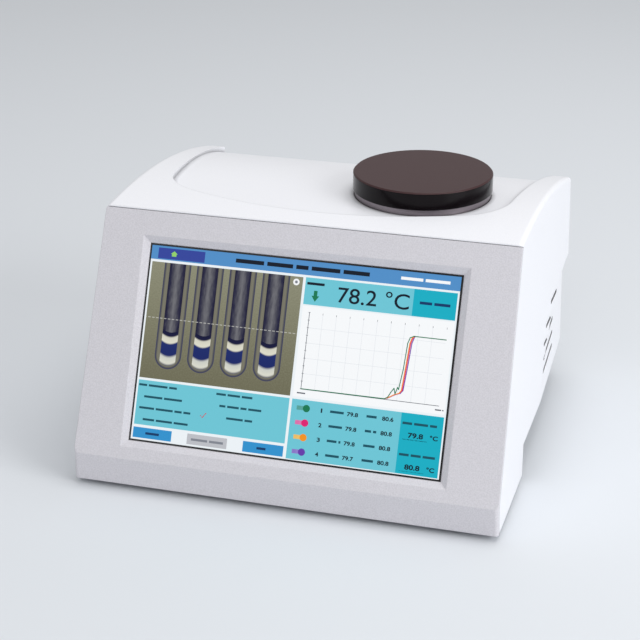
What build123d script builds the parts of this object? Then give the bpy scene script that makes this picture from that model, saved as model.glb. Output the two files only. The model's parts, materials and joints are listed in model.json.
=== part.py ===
from build123d import *
import os
from math import atan2, cos, degrees, radians, sin, sqrt, tan

os.makedirs("parts", exist_ok=True)

# Bench-top melting point apparatus. Millimetres, +Z up, +Y from front to back, +X to the right
# as seen from the front. The origin is on the bench under the middle of the box.

# Overall size
WIDTH = 290.0
DEPTH = 274.0
FOOT = 4.0
FRONT = -DEPTH / 2
REAR = DEPTH / 2
FLOAT_GAP = 0.3
SEAM = 0.3

# Housing form
WALL = 3.0
SIDE_DRAFT = 4.0
DRAFT_HEIGHT = 172.6
CREASE_Z = FOOT + 19.5
FACE_ANGLE = 65.9
FACE_LENGTH = 167.7
CHIN_SETBACK = 1.0
ROOF_RADIUS = 541.0
ROOF_PEAK_Y = FRONT + 118.0
ROOF_PEAK_Z = FOOT + 175.2
STEP_Y = FRONT + 90.0
STEP_SLANT = 3.0
SKIRT_Z = FOOT + 22.0
SHOULDER_RADIUS = 3.0

# Recess in the roof
RECESS_FRONT_Y = FRONT + 88.5
RECESS_FRONT_RADIUS = 250.0
RECESS_CORNER_RADIUS = 42.0
RECESS_SIDE = 16.5
RECESS_HALF_REAR = WIDTH / 2 - RECESS_SIDE
RECESS_FLARE = 3.8
RECESS_FLOOR_Z = FOOT + 171.0
RECESS_FLAT_END_Y = FRONT + 150.0
RECESS_FLOOR_RADIUS = 332.0

# Scoop in each side wall, with its vent slots
SCOOP_DEPTH = 4.4
SCOOP_FRONT_Y = FRONT + 158.0
SCOOP_REAR_Z = FOOT + 96.0
SCOOP_LOW_Z = FOOT + 10.0
SCOOP_STEP = 12.8
SCOOP_STEP_IN = 3.0
VENT_COUNT = 5
VENT_PITCH = 10.8
VENT_HEIGHT = 3.0
VENT_CORNER = 0.9
VENT_TOP_Z = FOOT + 84.0
VENT_REAR_Y = FRONT + 219.0
VENT_LENGTHS = (25.0, 44.0, 52.0, 52.0, 51.0)

# Front panel and its screen opening
PANEL = 4.0
PANEL_LIP = 1.0
PANEL_EDGE_RADIUS = 2.6
SCREEN_U = -1.1
SCREEN_V = 79.2
SCREEN_W = 212.9
SCREEN_H = 132.4
BEVEL_OUT = 4.6
BEVEL_DEPTH = 2.6
GLASS_MARGIN = 2.6
GLASS = 2.0
GLASS_FIT = 0.3

# Display stack behind the panel
LCD_W = 229.0
LCD_H = 149.0
LCD_T = 5.0
BAY_FIT = 0.3
FRAME_T = 1.5
FRAME_MARGIN = 7.0
FRAME_RAIL = 16.0
BOSS_R = 4.0
BOARD_T = 1.6
BOARD_GAP = 6.0
DISPLAY_BOARD_U = -20.0
DISPLAY_BOARD_W = 108.0
DISPLAY_BOARD_H = 90.0
BOARD_SPOT_V = 36.0
BOARD_EDGE = 5.0
SPACER_R = 3.0

# Lid, collar and furnace
LID_SIDE = 88.6
LID_X = WIDTH / 2 - LID_SIDE
LID_Y = FRONT + 154.3
LID_R = 47.8
LID_H = 12.0
LID_EDGE = 0.9
LID_SKIRT = 5.0
LID_POCKET_R = 36.0
LID_POCKET = 7.0
SPIGOT_WALL = 3.7
COLLAR_R = 46.8
COLLAR_BORE_R = 42.0
COLLAR_TOP_Z = FOOT + 175.4
COLLAR_H = 12.0
COLLAR_CLEAR = 0.3
CAN_R = 45.0
CAN_WALL = 1.5
CAN_FLOOR = 2.0
CAN_FLOOR_Z = FOOT + 68.0
SIGHT_Z = FOOT + 118.0
SIGHT_R = 11.0
SIGHT_TUBE_WALL = 2.0
SIGHT_TUBE = 6.0
SIGHT_BELOW = 4.0
SIGHT_ABOVE = 8.0
SLIT = 1.6
INSULATION_FLOOR = 18.0
BLOCK_R = 20.0
BLOCK_H = 60.0
TUBE_COUNT = 4
TUBE_PITCH = 7.0
TUBE_BORE_R = 1.0
TUBE_DEPTH = 52.0
HEATER_R = 3.25
HEATER_L = 48.0
HEATER_X = 14.5
HEATER_Y = 7.0
PROBE_Y = -11.0
PROBE_R = 1.5
PROBE_L = 30.0
GUIDE_T = 5.0
GUIDE_NECK_R = 16.0

# Bottom plate, rear panel, feet
SHEET = 2.0
BASE_INSET = 2.0
REAR_INSET = 6.0
FIT = 0.4
FOOT_R = 8.0
LEG_R = 9.0
LEG_TOP_R = 13.0
PAD_H = 4.0
FOOT_SIDE = 33.0
FOOT_X = WIDTH / 2 - FOOT_SIDE
FRONT_FOOT_Y = FRONT + 34.0
REAR_FOOT_Y = REAR - 34.0
LUG = 12.0
LUG_T = 10.0

# Screws
SCREW_R = 1.5
SCREW_HEAD_R = 2.8
SCREW_HEAD = 2.2
SCREW_HOLE = 0.1
HEAD_SUNK = 0.8
FLATS = 8

# Rear panel fittings
FAN = 60.0
FAN_T = 20.0
FAN_BORE_R = 28.0
FAN_HUB_R = 12.0
FAN_SIDE = 89.0
FAN_X = WIDTH / 2 - FAN_SIDE
FAN_Z = FOOT + 92.0
FAN_BLADES = 7
FAN_TIP_GAP = 1.2
BLADE_ANGLE = 38.0
BLADE_CHORD = 13.0
BLADE_T = 1.4
FAN_HOLE_PITCH = 50.0
GUARD_RINGS = 4
GUARD_GAP = 4.2
GUARD_BAR = 2.4
INLET_SIDE = 45.0
INLET_X = INLET_SIDE - WIDTH / 2
INLET_Z = FOOT + 62.0
INLET_W = 27.4
INLET_H = 34.0
INLET_FLANGE_W = 31.0
INLET_FLANGE_H = 40.0
INLET_FLANGE = 2.5
INLET_DEEP = 26.0
SOCKET_W = 24.4
SOCKET_H = 16.4
SOCKET_DEEP = 19.0
SOCKET_RISE = 5.4
PIN_L = 13.5
DRAWER_W = 22.0
DRAWER_H = 8.0
DRAWER_L = 24.0
DRAWER_GAP = 0.3
FUSE_R = 2.5
FUSE_L = 20.0
SWITCH_X = INLET_X
SWITCH_Z = FOOT + 104.0
SWITCH_W = 19.2
SWITCH_H = 13.0
SWITCH_FLANGE_W = 21.4
SWITCH_FLANGE_H = 15.4
SWITCH_FLANGE = 2.0
SWITCH_DEEP = 14.0
ROCKER_W = 14.6
ROCKER_H = 10.4
ROCKER_GAP = 0.5
ROCKER_PIVOT_R = 1.0
ROCKER_TILT = 9.0
PIVOT_FIT = 0.05
ROCKER_INSET = 0.4

# Electronics
SUPPLY_W = 62.0
SUPPLY_L = 120.0
SUPPLY_H = 30.0
SUPPLY_SIDE = 17.0
SUPPLY_BACK = 53.0
SUPPLY_X = SUPPLY_SIDE + SUPPLY_W / 2 - WIDTH / 2
SUPPLY_Y = REAR - SUPPLY_BACK - SUPPLY_L / 2
SUPPLY_GAP = 2.0
MAIN_BOARD_W = 68.0
MAIN_BOARD_L = 150.0
MAIN_BOARD_X = SUPPLY_X + SUPPLY_W / 2 + SUPPLY_GAP + MAIN_BOARD_W / 2
STANDOFF = 8.0
CHIP_X = -9.0
CHIP_BACK = 79.0
CHIP = 18.0
SINK_X = 21.0
SINK_BACK = 78.0
SINK_W = 22.0
SINK_L = 32.0
CAPACITOR_R = 5.0
CAPACITOR_SPOTS = ((-22.0, 108.0), (-22.0, 122.0), (-8.0, 122.0))
HEADER_SPOTS = (-24.0, -4.0, 16.0)
HEADER_W = 15.0
HEADER_D = 7.0
HEADER_EDGE = 2.0
USB_X = MAIN_BOARD_X - 20.0
USB_W = 13.6
USB_H = 15.6
USB_DEEP = 17.0
USB_SLOT_W = 12.2
USB_SLOT_H = 5.0
USB_SLOT_RISE = 3.9
LAN_X = MAIN_BOARD_X + 2.0
LAN_W = 16.0
LAN_H = 13.6
LAN_DEEP = 21.0
LAN_MOUTH_W = 11.8
LAN_MOUTH_H = 8.0
SOCKET_PROUD = 0.6
SERIAL_X = MAIN_BOARD_X - 4.0
SERIAL_Z = FOOT + 78.0
SERIAL_W = 18.0
SERIAL_H = 9.4
SERIAL_FLANGE_W = 30.8
SERIAL_FLANGE_H = 12.4
SERIAL_DEEP = 10.0
SERIAL_PROUD = 4.0
SERIAL_SCREW_X = 12.5
POST_R = 2.5
POST_H = 5.0
CONTACT_PITCH = 2.75
CONTACT_ROW = 1.4
CONTACT_R = 0.6

# Camera and lamp
CAMERA = 34.0
CAMERA_T = 22.0
CAMERA_GAP = 3.0
BRACKET_TOE = 14.0
LENS_R = 8.0
LENS_L = 16.0
LAMP = 26.0
LAMP_T = 3.0

slope = radians(FACE_ANGLE)
FACE_TOP_Y = FRONT + FACE_LENGTH * cos(slope)
FACE_TOP_Z = CREASE_Z + FACE_LENGTH * sin(slope)
BASE_FRONT_Z = FOOT + BASE_INSET
BASE_REAR_Z = SKIRT_Z + BASE_INSET
DECK_Z = BASE_REAR_Z + SHEET
PANEL_BACK_Y = REAR - REAR_INSET - SHEET
PANEL_FACE_Y = REAR - REAR_INSET
HALF = WIDTH / 2
FAR = 60.0


def face_point(v, depth):
    """A point (y, z) on the sloping face: v up the slope, depth behind it."""
    return (FRONT + v * cos(slope) + depth * sin(slope),
            CREASE_Z + v * sin(slope) - depth * cos(slope))


def face_plane(v=0.0, depth=0.0, u=0.0):
    """Plane parallel to the sloping face. Its x runs to the right, its y up the slope."""
    y, z = face_point(v, depth)
    return Plane(origin=(u, y, z), x_dir=(1, 0, 0), z_dir=(0, -sin(slope), cos(slope)))


def along_x(face, half_width):
    """Solid of a YZ outline, symmetric about the middle plane."""
    return extrude(face, half_width, both=True)


def yz_outline(points):
    """Closed YZ polygon."""
    return Plane.YZ * make_face(Polyline(*points, close=True))


def rod_y(x, y0, y1, z, radius):
    """Cylinder along Y."""
    return Pos(x, (y0 + y1) / 2, z) * Rot(90, 0, 0) * Cylinder(radius, abs(y1 - y0))


def rod_z(x, y, z0, z1, radius):
    """Cylinder along Z."""
    return Pos(x, y, (z0 + z1) / 2) * Cylinder(radius, abs(z1 - z0))


def flatted(radius, length):
    """Bar along Z with a few flats, for the many small screws and their holes."""
    return extrude(RegularPolygon(radius, FLATS), length / 2, both=True)


def pin_y(x, y0, y1, z, radius):
    """Flatted bar along Y."""
    return Pos(x, (y0 + y1) / 2, z) * Rot(90, 0, 0) * flatted(radius, abs(y1 - y0))


def pin_z(x, y, z0, z1, radius):
    """Flatted bar along Z."""
    return Pos(x, y, (z0 + z1) / 2) * flatted(radius, abs(z1 - z0))


def face_pin(u, v, depth, length, radius):
    """Flatted bar square to the sloping face, from a depth outwards."""
    return extrude(face_plane(v, depth, u) * RegularPolygon(radius, FLATS), length)


def block(x0, x1, y0, y1, z0, z1):
    """Box between two corners."""
    return Pos((x0 + x1) / 2, (y0 + y1) / 2, (z0 + z1) / 2) * Box(x1 - x0, y1 - y0, z1 - z0)


def centred(x, half_wide, y0, y1, z, half_tall):
    """Box along Y around a line at (x, z)."""
    return block(x - half_wide, x + half_wide, y0, y1, z - half_tall, z + half_tall)


def roof_z(y):
    """Height of the roof over y."""
    return ROOF_PEAK_Z - ROOF_RADIUS + sqrt(ROOF_RADIUS ** 2 - (y - ROOF_PEAK_Y) ** 2)


def recess_z(y):
    """Height of the recess floor over y."""
    if y <= RECESS_FLAT_END_Y:
        return RECESS_FLOOR_Z
    drop = RECESS_FLOOR_RADIUS - sqrt(RECESS_FLOOR_RADIUS ** 2 - (y - RECESS_FLAT_END_Y) ** 2)
    return RECESS_FLOOR_Z - drop


def drafted_sides(inset):
    """Space between the two leaning side walls."""
    lean = SIDE_DRAFT / DRAFT_HEIGHT
    low, high = -FAR, ROOF_PEAK_Z + FAR
    wide = HALF - inset - lean * (low - FOOT)
    narrow = HALF - inset - lean * (high - FOOT)
    outline = Polyline((-wide, low), (wide, low), (narrow, high), (-narrow, high), close=True)
    return extrude(Plane.XZ * make_face(outline), DEPTH, both=True)


def recess_tool(inset):
    """Space above the sunken part of the roof, grown by inset."""
    y0, y1 = RECESS_FRONT_Y - FAR, REAR + FAR
    middle = (RECESS_FLAT_END_Y + y1) / 2
    turn = (RECESS_FLAT_END_Y, RECESS_FLOOR_Z)
    end = (y1, recess_z(y1))
    sky = ROOF_PEAK_Z + FAR
    floor_edge = [
        Line((y0, RECESS_FLOOR_Z), turn),
        ThreePointArc(turn, (middle, recess_z(middle)), end),
        Polyline(end, (y1, sky), (y0, sky), (y0, RECESS_FLOOR_Z)),
    ]
    above = Pos(0, 0, -inset) * along_x(Plane.YZ * make_face(Curve() + floor_edge), WIDTH)
    flare = tan(radians(RECESS_FLARE))
    front_y = RECESS_FRONT_Y - inset
    radius = RECESS_FRONT_RADIUS + inset
    corner = RECESS_CORNER_RADIUS + inset
    half_rear = RECESS_HALF_REAR + inset + flare * FAR
    half_front = half_rear - flare * (y1 - front_y)
    disc = Pos(0, front_y + radius) * Circle(radius)
    sides = make_face(Polyline((-half_front, front_y), (half_front, front_y),
                               (half_rear, y1), (-half_rear, y1), close=True))
    rear_part = Pos(0, y1) * Rectangle(4 * WIDTH, 2 * (y1 - ROOF_PEAK_Y - FAR))
    plan = (disc + rear_part) & sides
    front_corners = plan.vertices().sort_by(Axis.Y)[:2]
    plan = fillet(front_corners, corner)
    return above & extrude(plan, ROOF_PEAK_Z + FAR)


def scoop_tool(inset):
    """Shallow hollow at the lower rear of the right wall, grown inwards by inset."""
    lean = degrees(atan2(SIDE_DRAFT, DRAFT_HEIGHT))
    y1 = REAR + FAR
    length = REAR - SCOOP_FRONT_Y
    end_x = HALF - inset - SCOOP_DEPTH * (y1 - SCOOP_FRONT_Y) / length
    wedge_outline = Polyline((HALF + FAR, SCOOP_FRONT_Y), (HALF - inset, SCOOP_FRONT_Y),
                             (end_x, y1), (HALF + FAR, y1), close=True)
    wedge = Pos(0, 0, -FAR) * extrude(make_face(wedge_outline), ROOF_PEAK_Z + FAR)
    wedge = Pos(HALF, 0, FOOT) * Rot(0, -lean, 0) * Pos(-HALF, 0, -FOOT) * wedge

    def side_region(x, drop):
        rear_z = SCOOP_REAR_Z + inset - drop
        front_y = SCOOP_FRONT_Y - inset
        tall = rear_z - SCOOP_LOW_Z
        top = EllipticalCenterArc((REAR, SCOOP_LOW_Z), REAR - front_y, tall, 90, arc_size=90)
        rest = Polyline((front_y, SCOOP_LOW_Z), (front_y, -FAR), (y1, -FAR), (y1, rear_z), (REAR, rear_z))
        return Plane(origin=(x, 0, 0), x_dir=(0, 1, 0), z_dir=(1, 0, 0)) * make_face(top + rest)

    wide = side_region(HALF, 0)
    tight = side_region(HALF - SCOOP_DEPTH - inset - SCOOP_STEP_IN, SCOOP_STEP)
    region = loft(Sketch() + [tight, wide])
    region += extrude(wide, FAR)
    return wedge & region


def both_sides(solid):
    """The solid and its mirror image."""
    return solid + mirror(solid, about=Plane.YZ)


def outer_form():
    """Full outer form of the housing, panel included."""
    middle = (FACE_TOP_Y + REAR) / 2
    edge = [
        Polyline((REAR, roof_z(REAR)), (REAR, SKIRT_Z), (STEP_Y, SKIRT_Z), (STEP_Y - STEP_SLANT, FOOT),
                 (FRONT + CHIN_SETBACK, FOOT), (FRONT, CREASE_Z), (FACE_TOP_Y, roof_z(FACE_TOP_Y))),
        ThreePointArc((FACE_TOP_Y, roof_z(FACE_TOP_Y)), (middle, roof_z(middle)), (REAR, roof_z(REAR))),
    ]
    form = along_x(Plane.YZ * make_face(Curve() + edge), HALF) & drafted_sides(0)
    shoulders = [e for e in form.edges() if abs(e.center().X) > HALF / 2 and e.length > DEPTH / 2
                 and min(e.position_at(0).Z, e.position_at(1).Z) > SKIRT_Z + 1]
    form = fillet(shoulders, SHOULDER_RADIUS)
    form -= recess_tool(0)
    return form - both_sides(scoop_tool(0))


def inner_form(inset):
    """Space inside the walls, open to the front, the bottom and the rear."""
    y0, y1 = FRONT - FAR, REAR + FAR
    middle = ROOF_PEAK_Y
    edge = [
        Polyline((y1, roof_z(y1) - inset), (y1, -FAR), (y0, -FAR), (y0, roof_z(y0) - inset)),
        ThreePointArc((y0, roof_z(y0) - inset), (middle, roof_z(middle) - inset),
                      (y1, roof_z(y1) - inset)),
    ]
    form = along_x(Plane.YZ * make_face(Curve() + edge), HALF) & drafted_sides(inset)
    form -= recess_tool(inset)
    return form - both_sides(scoop_tool(inset))


def panel_zone(thickness, lip):
    """Region in front of the panel's back face, up to the lip of the roof."""
    top = FACE_LENGTH - lip
    turn = thickness * (1 - sin(slope)) / cos(slope)
    return yz_outline([face_point(top, -FAR), face_point(top, thickness), face_point(turn, thickness),
                       (FRONT + CHIN_SETBACK + thickness, FOOT), (FRONT + CHIN_SETBACK + thickness, -FAR),
                       (FRONT - FAR, -FAR)])


def lug_spots():
    """Places (u, v) of the four screws that hold the panel, seen on the sloping face."""
    return [(side * (HALF - WALL - SIDE_DRAFT - LUG / 2), v) for side in (-1, 1) for v in (14.0, 146.0)]


def rear_spots():
    """Places (x, z) of the screws of the rear panel."""
    return [(side * (HALF - WALL - SCOOP_DEPTH - SIDE_DRAFT - LUG / 2 + 1.0), z)
            for side in (-1, 1) for z in (FOOT + 40.0, FOOT + 122.0)]


def base_spots():
    """Places (x, y, z of the lower face) of the screws of the bottom plate."""
    x = HALF - WALL - SCOOP_DEPTH - LUG / 2
    return [(side * x, y, z) for side in (-1, 1)
            for y, z in ((FRONT + 60.0, BASE_FRONT_Z), (REAR - 24.0, BASE_REAR_Z))]


def screw_up(x, y, z, length):
    """Screw along +Z with its head below z."""
    return pin_z(x, y, z - SCREW_HEAD, z, SCREW_HEAD_R) + pin_z(x, y, z, z + length, SCREW_R)


def screw_forward(x, y, z, length):
    """Screw along -Y with its head behind y."""
    return pin_y(x, y, y + SCREW_HEAD, z, SCREW_HEAD_R) + pin_y(x, y - length, y, z, SCREW_R)


def face_screw(u, v, depth, length):
    """Screw towards the sloping face with its head behind depth."""
    head = face_pin(u, v, depth, -SCREW_HEAD, SCREW_HEAD_R)
    return head + face_pin(u, v, depth, length, SCREW_R)


def top_cover():
    """White moulded cover: roof with its sunken deck, both sides, scoops and vent slots."""
    cover = outer_form() - inner_form(WALL)
    outer = outer_form()
    lugs = []
    for u, v in lug_spots():
        side = 1 if u > 0 else -1
        plate = face_plane(v, PANEL + SEAM, u + side * LUG / 2) * Rectangle(2 * LUG, 1.4 * LUG)
        lugs.append(extrude(plate, -WALL))
    for x, z in rear_spots():
        side = 1 if x > 0 else -1
        reach = side * (abs(x) - LUG / 2)
        wall_x = side * HALF
        lugs.append(block(min(reach, wall_x), max(reach, wall_x), PANEL_BACK_Y - LUG_T, PANEL_BACK_Y,
                          z - LUG / 2, z + LUG / 2))
    for x, y, z in base_spots():
        side = 1 if x > 0 else -1
        reach = side * (abs(x) - LUG / 2)
        wall_x = side * HALF
        lugs.append(block(min(reach, wall_x), max(reach, wall_x), y - LUG / 2, y + LUG / 2,
                          z + SHEET, z + SHEET + LUG_T))
    for lug in lugs:
        cover += lug & outer
    cover -= along_x(panel_zone(PANEL + SEAM, PANEL_LIP - SEAM), WIDTH)
    cover -= rod_z(LID_X, LID_Y, FOOT + 100, ROOF_PEAK_Z + FAR, COLLAR_R + COLLAR_CLEAR)
    cover -= both_sides(vent_tool())
    for u, v in lug_spots():
        cover -= face_pin(u, v, 0, -FAR / 3, SCREW_R + SCREW_HOLE)
    for x, z in rear_spots():
        cover -= pin_y(x, PANEL_BACK_Y - LUG_T + 2, REAR, z, SCREW_R + SCREW_HOLE)
    for x, y, z in base_spots():
        cover -= pin_z(x, y, z, z + SHEET + LUG_T - 2, SCREW_R + SCREW_HOLE)
    return cover


def vent_tool():
    """Slots of the right side wall, a loop of rounded bars."""
    tool = None
    for i in range(VENT_COUNT):
        length = VENT_LENGTHS[i % len(VENT_LENGTHS)]
        z = VENT_TOP_Z - i * VENT_PITCH
        slot = Plane(origin=(HALF + WALL, VENT_REAR_Y - length / 2, z), x_dir=(0, 1, 0), z_dir=(1, 0, 0))
        outline = Rectangle(length, VENT_HEIGHT)
        outline = chamfer(outline.vertices(), VENT_CORNER)
        bar = extrude(slot * outline, -(4 * WALL + SCOOP_DEPTH))
        tool = bar if tool is None else tool + bar
    return tool


def front_panel():
    """Grey front moulding: sloping face with the bevelled screen opening, and the chin below it."""
    panel = outer_form() & along_x(panel_zone(PANEL, PANEL_LIP), WIDTH)
    edges = [e for e in panel.edges() if abs(abs(e.center().X) - HALF) < SIDE_DRAFT
             and e.length > CREASE_Z - FOOT - 1 and on_front(e)]
    panel = fillet(edges, PANEL_EDGE_RADIUS)
    grow = 4 * BEVEL_OUT
    bevel = loft(Sketch() + [
        face_plane(SCREEN_V, -BEVEL_DEPTH, SCREEN_U) * Rectangle(SCREEN_W + grow, SCREEN_H + grow),
        face_plane(SCREEN_V, BEVEL_DEPTH, SCREEN_U) * Rectangle(SCREEN_W, SCREEN_H)])
    panel -= bevel
    panel -= extrude(face_plane(SCREEN_V, BEVEL_DEPTH, SCREEN_U) * glass_outline(GLASS_FIT), -FAR / 2)
    bay = Rectangle(LCD_W + 2 * BAY_FIT, LCD_H + 2 * BAY_FIT)
    panel -= extrude(face_plane(SCREEN_V, PANEL, SCREEN_U) * bay, PANEL - frame_depth())
    for u, v in boss_spots():
        panel += extrude(face_plane(v, PANEL - 1, u) * Circle(BOSS_R), -(frame_depth() - PANEL + 1))
        panel -= face_pin(u, v, frame_depth(), 6.0, SCREW_R + SCREW_HOLE)
    for u, v in lug_spots():
        panel -= face_pin(u, v, PANEL, PANEL - 1.2, SCREW_R + SCREW_HOLE)
    return panel


def on_front(edge):
    """Whether both ends of an edge lie on the outer front faces."""
    for y, z in ((p.Y, p.Z) for p in (edge.position_at(0), edge.position_at(1))):
        if z >= CREASE_Z:
            expected = FRONT + (z - CREASE_Z) / tan(slope)
        else:
            expected = FRONT + CHIN_SETBACK * (CREASE_Z - z) / (CREASE_Z - FOOT)
        if abs(y - expected) > 0.05:
            return False
    return True


def glass_back():
    """Depth of the back of the touch glass."""
    return BEVEL_DEPTH + GLASS


def frame_depth():
    """Depth of the front of the display frame."""
    return glass_back() + LCD_T


def boss_spots():
    """Places (u, v) of the four bosses that carry the display."""
    u = LCD_W / 2 + BOSS_R + 1.0
    return [(SCREEN_U + a * u, SCREEN_V + b * LCD_H * 0.36) for a in (-1, 1) for b in (-1, 1)]


def touch_glass():
    """Cover glass in its seat behind the bevel."""
    return extrude(face_plane(SCREEN_V, BEVEL_DEPTH, SCREEN_U) * glass_outline(0), -GLASS)


def glass_outline(gap):
    """Outline of the touch glass, grown by a gap."""
    grow = 2 * (GLASS_MARGIN + gap)
    return Rectangle(SCREEN_W + grow, SCREEN_H + grow)


def display_gasket():
    """Foam frame between the panel and the screen module."""
    ring = Rectangle(LCD_W, LCD_H) - glass_outline(0.5)
    return extrude(face_plane(SCREEN_V, PANEL, SCREEN_U) * ring, -(glass_back() - PANEL))


def lcd_module():
    """Screen module with its folded metal edge."""
    body = extrude(face_plane(SCREEN_V, glass_back(), SCREEN_U) * Rectangle(LCD_W, LCD_H), -LCD_T)
    return body


def display_frame():
    """Sheet frame that clamps the screen module to the panel."""
    wide = LCD_W + 2 * (2 * BOSS_R + 1.0) + 2
    tall = LCD_H
    window = Rectangle(LCD_W - 2 * FRAME_RAIL, LCD_H - 2 * FRAME_RAIL)
    sheet = Rectangle(wide, tall) - window
    frame = extrude(face_plane(SCREEN_V, frame_depth(), SCREEN_U) * sheet, -FRAME_T)
    bar = Rectangle(LCD_W - 2 * FRAME_RAIL + 2, FRAME_RAIL)
    for side in (-1, 1):
        v = SCREEN_V + side * BOARD_SPOT_V
        frame += extrude(face_plane(v, frame_depth(), SCREEN_U) * bar, -FRAME_T)
    for u, v in boss_spots():
        frame -= face_pin(u, v, frame_depth(), -FRAME_T, SCREW_R + SCREW_HOLE)
    return frame


def board_corner_spots():
    """Places (u, v) of the spacers of the display board."""
    reach = DISPLAY_BOARD_W / 2 - BOARD_EDGE
    return [(DISPLAY_BOARD_U + a * reach, SCREEN_V + b * BOARD_SPOT_V) for a in (-1, 1) for b in (-1, 1)]


def display_spacers():
    """Four spacers between the frame and the display board."""
    depth = frame_depth() + FRAME_T
    hexagon = RegularPolygon(SPACER_R, 6)
    return [extrude(face_plane(v, depth, u) * hexagon, -BOARD_GAP) for u, v in board_corner_spots()]


def display_board():
    """Controller board of the screen with its larger components."""
    depth = frame_depth() + FRAME_T + BOARD_GAP
    outline = Rectangle(DISPLAY_BOARD_W, DISPLAY_BOARD_H)
    board = extrude(face_plane(SCREEN_V, depth, DISPLAY_BOARD_U) * outline, -BOARD_T)
    for u, v, w, h, t in ((-30, 10, 22, 22, 2.4), (10, 14, 16, 14, 1.8), (38, -12, 24, 12, 5.0),
                          (-36, -24, 30, 7, 4.0), (8, -20, 12, 12, 1.6)):
        spot = face_plane(SCREEN_V + v, depth + BOARD_T, DISPLAY_BOARD_U + u)
        board += extrude(spot * Rectangle(w, h), -t)
    return board


def lid():
    """Round lift-off lid with a locating ring below it."""
    top = COLLAR_TOP_Z + LID_H
    body = rod_z(LID_X, LID_Y, COLLAR_TOP_Z, top, LID_R)
    body = chamfer(body.edges().sort_by(Axis.Z)[-1], LID_EDGE)
    ring = rod_z(LID_X, LID_Y, COLLAR_TOP_Z - LID_SKIRT, COLLAR_TOP_Z, COLLAR_BORE_R - COLLAR_CLEAR)
    body += ring
    inner = COLLAR_BORE_R - COLLAR_CLEAR - SPIGOT_WALL
    body -= rod_z(LID_X, LID_Y, COLLAR_TOP_Z - LID_SKIRT, COLLAR_TOP_Z, inner)
    body -= rod_z(LID_X, LID_Y, COLLAR_TOP_Z, COLLAR_TOP_Z + LID_POCKET, LID_POCKET_R)
    return body


def lid_insulator():
    """Disc pressed into the underside of the lid."""
    top = COLLAR_TOP_Z + LID_POCKET
    return rod_z(LID_X, LID_Y, top - 4.0, top, LID_POCKET_R - 0.2)


def collar_ring():
    """Metal ring that stands through the roof and carries the lid."""
    bottom = COLLAR_TOP_Z - COLLAR_H
    ring = rod_z(LID_X, LID_Y, bottom, COLLAR_TOP_Z, COLLAR_R)
    ring -= rod_z(LID_X, LID_Y, bottom, COLLAR_TOP_Z, COLLAR_BORE_R)
    return ring


def furnace_can():
    """Steel can around the insulation, with a sight tube at the front and at the rear."""
    top = COLLAR_TOP_Z - COLLAR_H
    can = rod_z(LID_X, LID_Y, CAN_FLOOR_Z, top, CAN_R)
    reach = CAN_R + SIGHT_TUBE
    tube = rod_y(LID_X, LID_Y - reach, LID_Y + reach, SIGHT_Z, SIGHT_R + SIGHT_TUBE_WALL)
    can += tube
    can -= rod_z(LID_X, LID_Y, CAN_FLOOR_Z + CAN_FLOOR, top, CAN_R - CAN_WALL)
    can -= rod_y(LID_X, LID_Y - CAN_R - FAR, LID_Y + CAN_R + FAR, SIGHT_Z, SIGHT_R)
    return can


def insulation():
    """Ceramic fibre cup around the heating block, with a sight tunnel."""
    low = CAN_FLOOR_Z + CAN_FLOOR
    high = low + INSULATION_FLOOR + BLOCK_H + 12.0
    cup = rod_z(LID_X, LID_Y, low, high, CAN_R - CAN_WALL - FLOAT_GAP)
    cup -= rod_z(LID_X, LID_Y, low + INSULATION_FLOOR, high, BLOCK_R + FLOAT_GAP)
    cup -= rod_y(LID_X, LID_Y - CAN_R, LID_Y + CAN_R, SIGHT_Z, SIGHT_R)
    return cup


def block_floor():
    """Height of the underside of the heating block."""
    return CAN_FLOOR_Z + CAN_FLOOR + INSULATION_FLOOR


def tube_places():
    """Places along X of the capillary bores."""
    return [LID_X + (i - (TUBE_COUNT - 1) / 2) * TUBE_PITCH for i in range(TUBE_COUNT)]


def heating_block():
    """Aluminium block with a row of capillary bores, a sight slot, heater and probe bores."""
    low = block_floor()
    high = low + BLOCK_H
    body = rod_z(LID_X, LID_Y, low, high, BLOCK_R)
    for x in tube_places():
        body -= rod_z(x, LID_Y, high - TUBE_DEPTH, high, TUBE_BORE_R)
    slot = TUBE_PITCH * (TUBE_COUNT - 1) / 2 + 3 * TUBE_BORE_R
    near, far = TUBE_BORE_R + 1, BLOCK_R
    low_z, high_z = SIGHT_Z - SIGHT_BELOW, SIGHT_Z + SIGHT_ABOVE
    for y0, y1 in ((LID_Y - far, LID_Y - near), (LID_Y + near, LID_Y + far)):
        body -= block(LID_X - slot, LID_X + slot, y0, y1, low_z, high_z)
    for x in tube_places():
        body -= block(x - SLIT, x + SLIT, LID_Y - far, LID_Y + far, low_z + 1, high_z - 1)
    for side in (-1, 1):
        body -= pin_z(LID_X + side * HEATER_X, LID_Y + HEATER_Y, low, low + HEATER_L, HEATER_R + SCREW_HOLE)
    body -= pin_z(LID_X, LID_Y + PROBE_Y, low, low + PROBE_L / 2, PROBE_R + SCREW_HOLE)
    return body


def cartridge_heaters():
    """Two heater rods in the block, with their tails in the floor of the insulation."""
    low = block_floor()
    return [pin_z(LID_X + side * HEATER_X, LID_Y + HEATER_Y, low + 0.5, low + HEATER_L - 0.5, HEATER_R)
            for side in (-1, 1)]


def temperature_probe():
    """Slim probe in the block."""
    low = block_floor()
    return pin_z(LID_X, LID_Y + PROBE_Y, low + 0.5, low + PROBE_L / 2 - 0.5, PROBE_R)


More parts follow.
